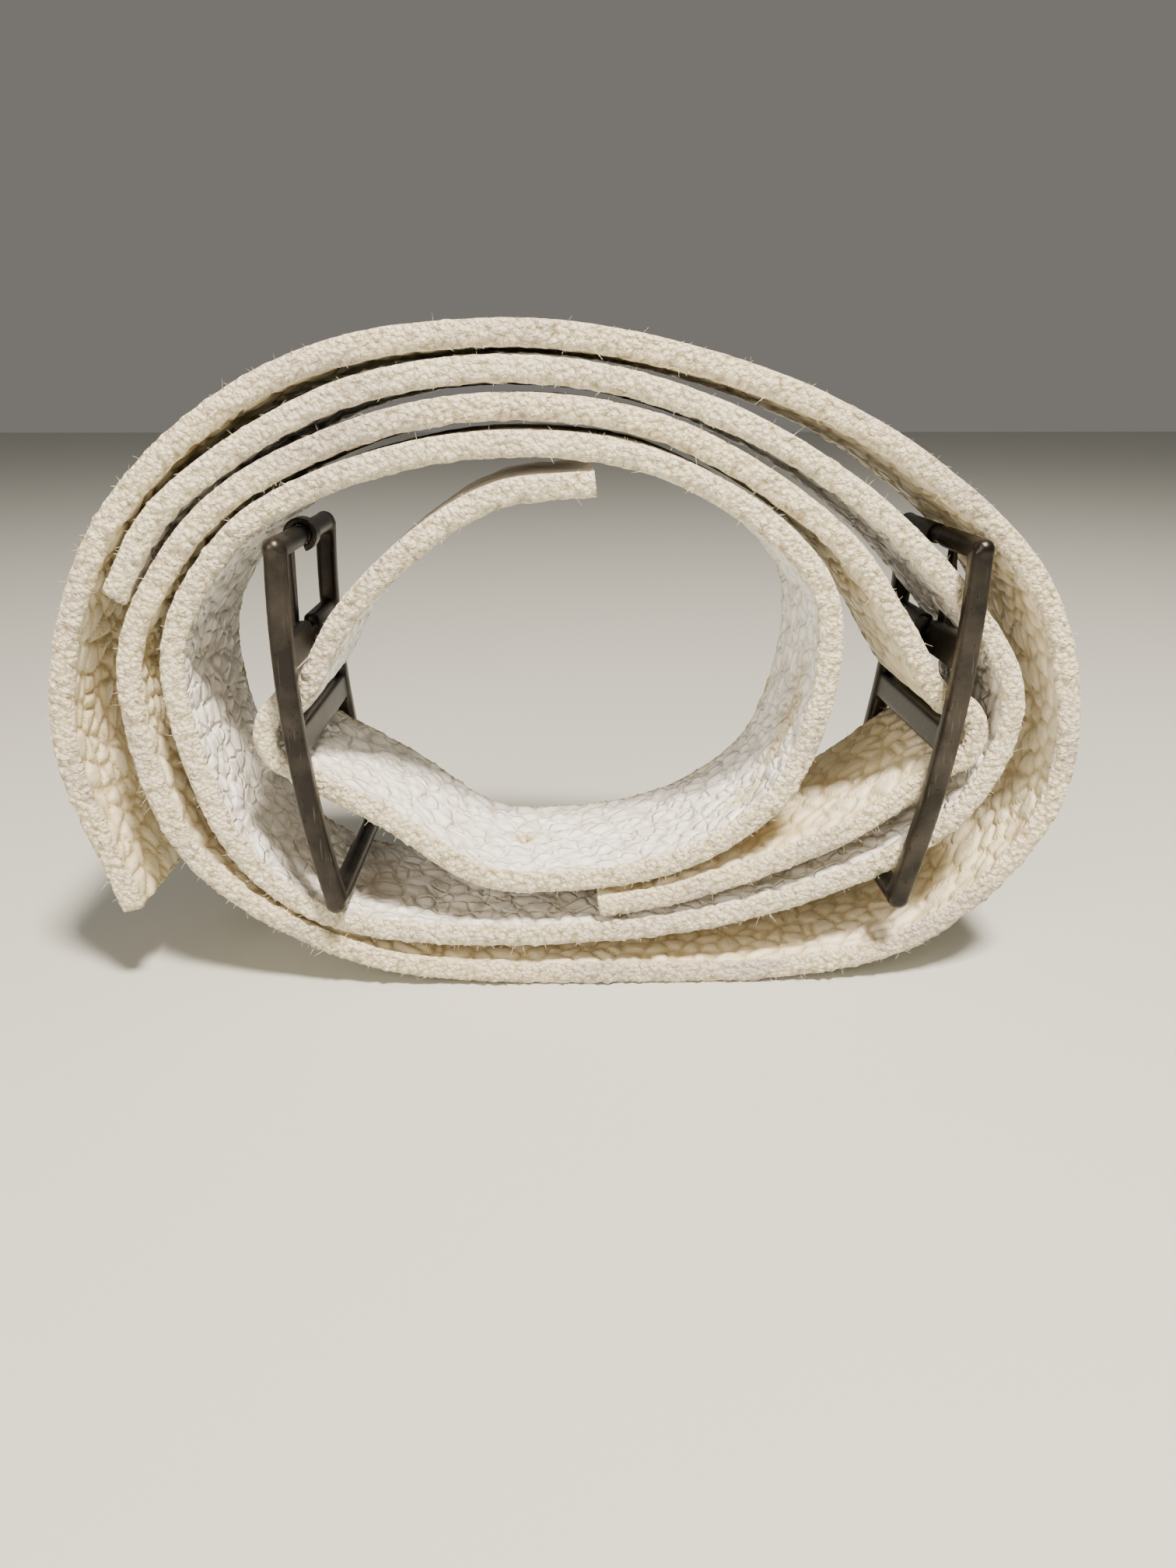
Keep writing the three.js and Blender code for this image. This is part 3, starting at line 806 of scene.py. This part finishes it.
def edge_fibres(name, line, grain_sign, seed, count, finish):
    chance = np.random.default_rng(seed)
    bm = bmesh.new()
    for _ in range(count):
        i = int(chance.integers(2, len(line) - 2))
        side = -1 if chance.random() < near_share else 1
        tangent = line[i + 1] - line[i - 1]
        tangent = Vector((tangent[0], 0, tangent[1])).normalized()
        up = grain_sign * Vector((tangent.z, 0, -tangent.x))
        rise = float(chance.uniform(-fibre_band, fibre_band)) * strap_thickness / 2
        length = float(chance.gamma(length_shape, length_scale)) + shortest_fibre
        lean = float(chance.normal(0, stray_along)) * tangent
        lean += (fan_out * rise + float(chance.normal(0, stray_up))) * up
        way = (Vector((0, side, 0)) + lean).normalized()
        edge = Vector((line[i][0], side * (half_width - fibre_root), line[i][1]))
        root = edge + roll_shift + up * rise
        if (root + way * length).z < fibre_radius:
            continue
        middle = Matrix.Translation(root + way * length / 2)
        turn = way.to_track_quat("Z", "Y").to_matrix().to_4x4()
        bmesh.ops.create_cone(bm, cap_ends=True, segments=3, radius1=fibre_radius,
                              radius2=fibre_radius / 4, depth=length, matrix=middle @ turn)
    bmesh.ops.scale(bm, verts=bm.verts, vec=(mm, mm, mm))
    mesh = bpy.data.meshes.new(name)
    bm.to_mesh(mesh)
    bm.free()
    mesh.materials.append(finish)
    fibres = bpy.data.objects.new(name, mesh)
    scene.collection.objects.link(fibres)
    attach(fibres, "roll")
    return fibres


outer_fibres = edge_fibres("strap_outer_fibres", outer_line, 1, 5, 3600,
                           cream_finishes[edge_finish])
inner_fibres = edge_fibres("strap_inner_fibres", inner_line, -1, 6, 3000,
                           white_finishes[edge_finish])

# Studio: a plain pale floor, one lamp high up and in front, small enough to leave a shadow
# with a soft edge, and a broad weak one low on the left. Its sizes and places are in metres.
floor_half = 3.0
floor_mesh = bpy.data.meshes.new("floor")
floor_bm = bmesh.new()
bmesh.ops.create_grid(floor_bm, x_segments=1, y_segments=1, size=floor_half)
floor_bm.to_mesh(floor_mesh)
floor_bm.free()
floor_finish, floor_tree, floor_shader = new_material("pale floor")
floor_shader.inputs["Base Color"].default_value = linear("#c9ccc6")
floor_shader.inputs["Roughness"].default_value = 0.6
floor_mesh.materials.append(floor_finish)
floor = bpy.data.objects.new("floor", floor_mesh)
scene.collection.objects.link(floor)
world = bpy.data.worlds.new("studio")
world.use_nodes = True
world.node_tree.nodes["Background"].inputs["Color"].default_value = linear("#e6dfd6")
world.node_tree.nodes["Background"].inputs["Strength"].default_value = 0.24
scene.world = world
roll_middle = Vector((0, 0, 0.05))
for name, place, size, power in (
    ("top light", (0.16, -0.36, 0.8), 0.13, 23.0),
    ("front light", (-0.5, -0.7, 0.45), 0.4, 4.0),
):
    light_data = bpy.data.lights.new(name, "AREA")
    light_data.size = size
    light_data.energy = power
    light_data.color = linear("#fff1df")[:3]
    light = bpy.data.objects.new(name, light_data)
    light.location = place
    light.rotation_euler = (roll_middle - Vector(place)).to_track_quat("-Z", "Y").to_euler()
    scene.collection.objects.link(light)
